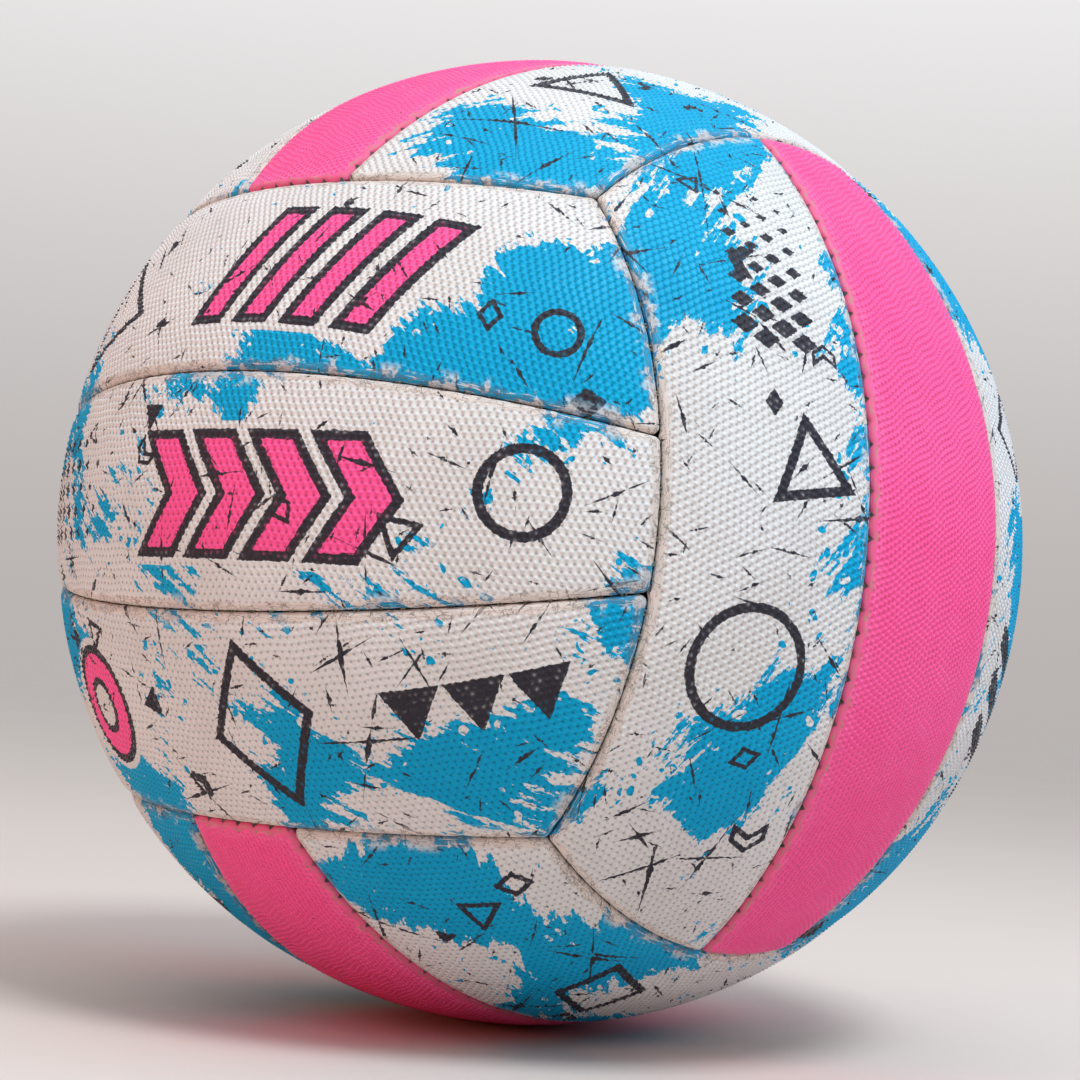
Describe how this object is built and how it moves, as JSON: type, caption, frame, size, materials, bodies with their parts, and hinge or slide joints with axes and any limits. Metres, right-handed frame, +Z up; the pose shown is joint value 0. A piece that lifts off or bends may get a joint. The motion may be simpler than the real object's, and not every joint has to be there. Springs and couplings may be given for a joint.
{
  "type": "netball",
  "caption": "Hand-stitched inflated ball of pimpled rubber strips in groups of three, printed and plain pink, over cloth backings and an air bladder with a needle valve.",
  "frame": {"origin": "centre of the ball", "axes": "+Z up, -Y out of the front face, whose strips lie level, and +Y out of the back face, along the valve"},
  "size_m": [0.2228, 0.2227, 0.2228],
  "materials": {
    "printed_rubber": "pimpled, off-white with a cyan and dark grey print, worn along its folds",
    "plain_rubber": "pimpled, hot pink, paler along its folds",
    "backing_cloth": "plies of plain woven cloth bonded together",
    "thread": "waxed and twisted",
    "bladder_rubber": "smooth, matt",
    "patch_rubber": "smooth, matt",
    "valve_rubber": "moulded, satin",
    "core_rubber": "moulded, satin"
  },
  "bodies": {
    "ball": {"front_upper_panel": "printed_rubber", "front_middle_panel": "printed_rubber", "front_lower_panel": "printed_rubber", "back_upper_panel": "printed_rubber", "back_middle_panel": "printed_rubber", "back_lower_panel": "printed_rubber", "right_front_panel": "printed_rubber", "right_middle_panel": "plain_rubber", "right_back_panel": "printed_rubber", "left_back_panel": "printed_rubber", "left_middle_panel": "plain_rubber", "left_front_panel": "printed_rubber", "top_left_panel": "printed_rubber", "top_middle_panel": "plain_rubber", "top_right_panel": "printed_rubber", "bottom_right_panel": "printed_rubber", "bottom_middle_panel": "plain_rubber", "bottom_left_panel": "printed_rubber", "front_upper_backing": "backing_cloth", "front_middle_backing": "backing_cloth", "front_lower_backing": "backing_cloth", "back_upper_backing": "backing_cloth", "back_middle_backing": "backing_cloth", "back_lower_backing": "backing_cloth", "right_front_backing": "backing_cloth", "right_middle_backing": "backing_cloth", "right_back_backing": "backing_cloth", "left_back_backing": "backing_cloth", "left_middle_backing": "backing_cloth", "left_front_backing": "backing_cloth", "top_left_backing": "backing_cloth", "top_middle_backing": "backing_cloth", "top_right_backing": "backing_cloth", "bottom_right_backing": "backing_cloth", "bottom_middle_backing": "backing_cloth", "bottom_left_backing": "backing_cloth", "front_right_thread": "thread", "front_left_thread": "thread", "back_left_thread": "thread", "back_right_thread": "thread", "right_top_thread": "thread", "right_bottom_thread": "thread", "left_top_thread": "thread", "left_bottom_thread": "thread", "top_back_thread": "thread", "top_front_thread": "thread", "bottom_back_thread": "thread", "bottom_front_thread": "thread", "front_strip_threads": "thread", "back_strip_threads": "thread", "right_strip_threads": "thread", "left_strip_threads": "thread", "top_strip_threads": "thread", "bottom_strip_threads": "thread", "bladder": "bladder_rubber", "valve_patch": "patch_rubber", "valve_boot": "valve_rubber"},
    "core": {"valve_core": "core_rubber"}
  },
  "joints": [
    {"name": "core_pull", "type": "slide", "parent": "ball", "child": "core", "axis": [0, 1, 0], "range_m": [0, 0.026]}
  ]
}
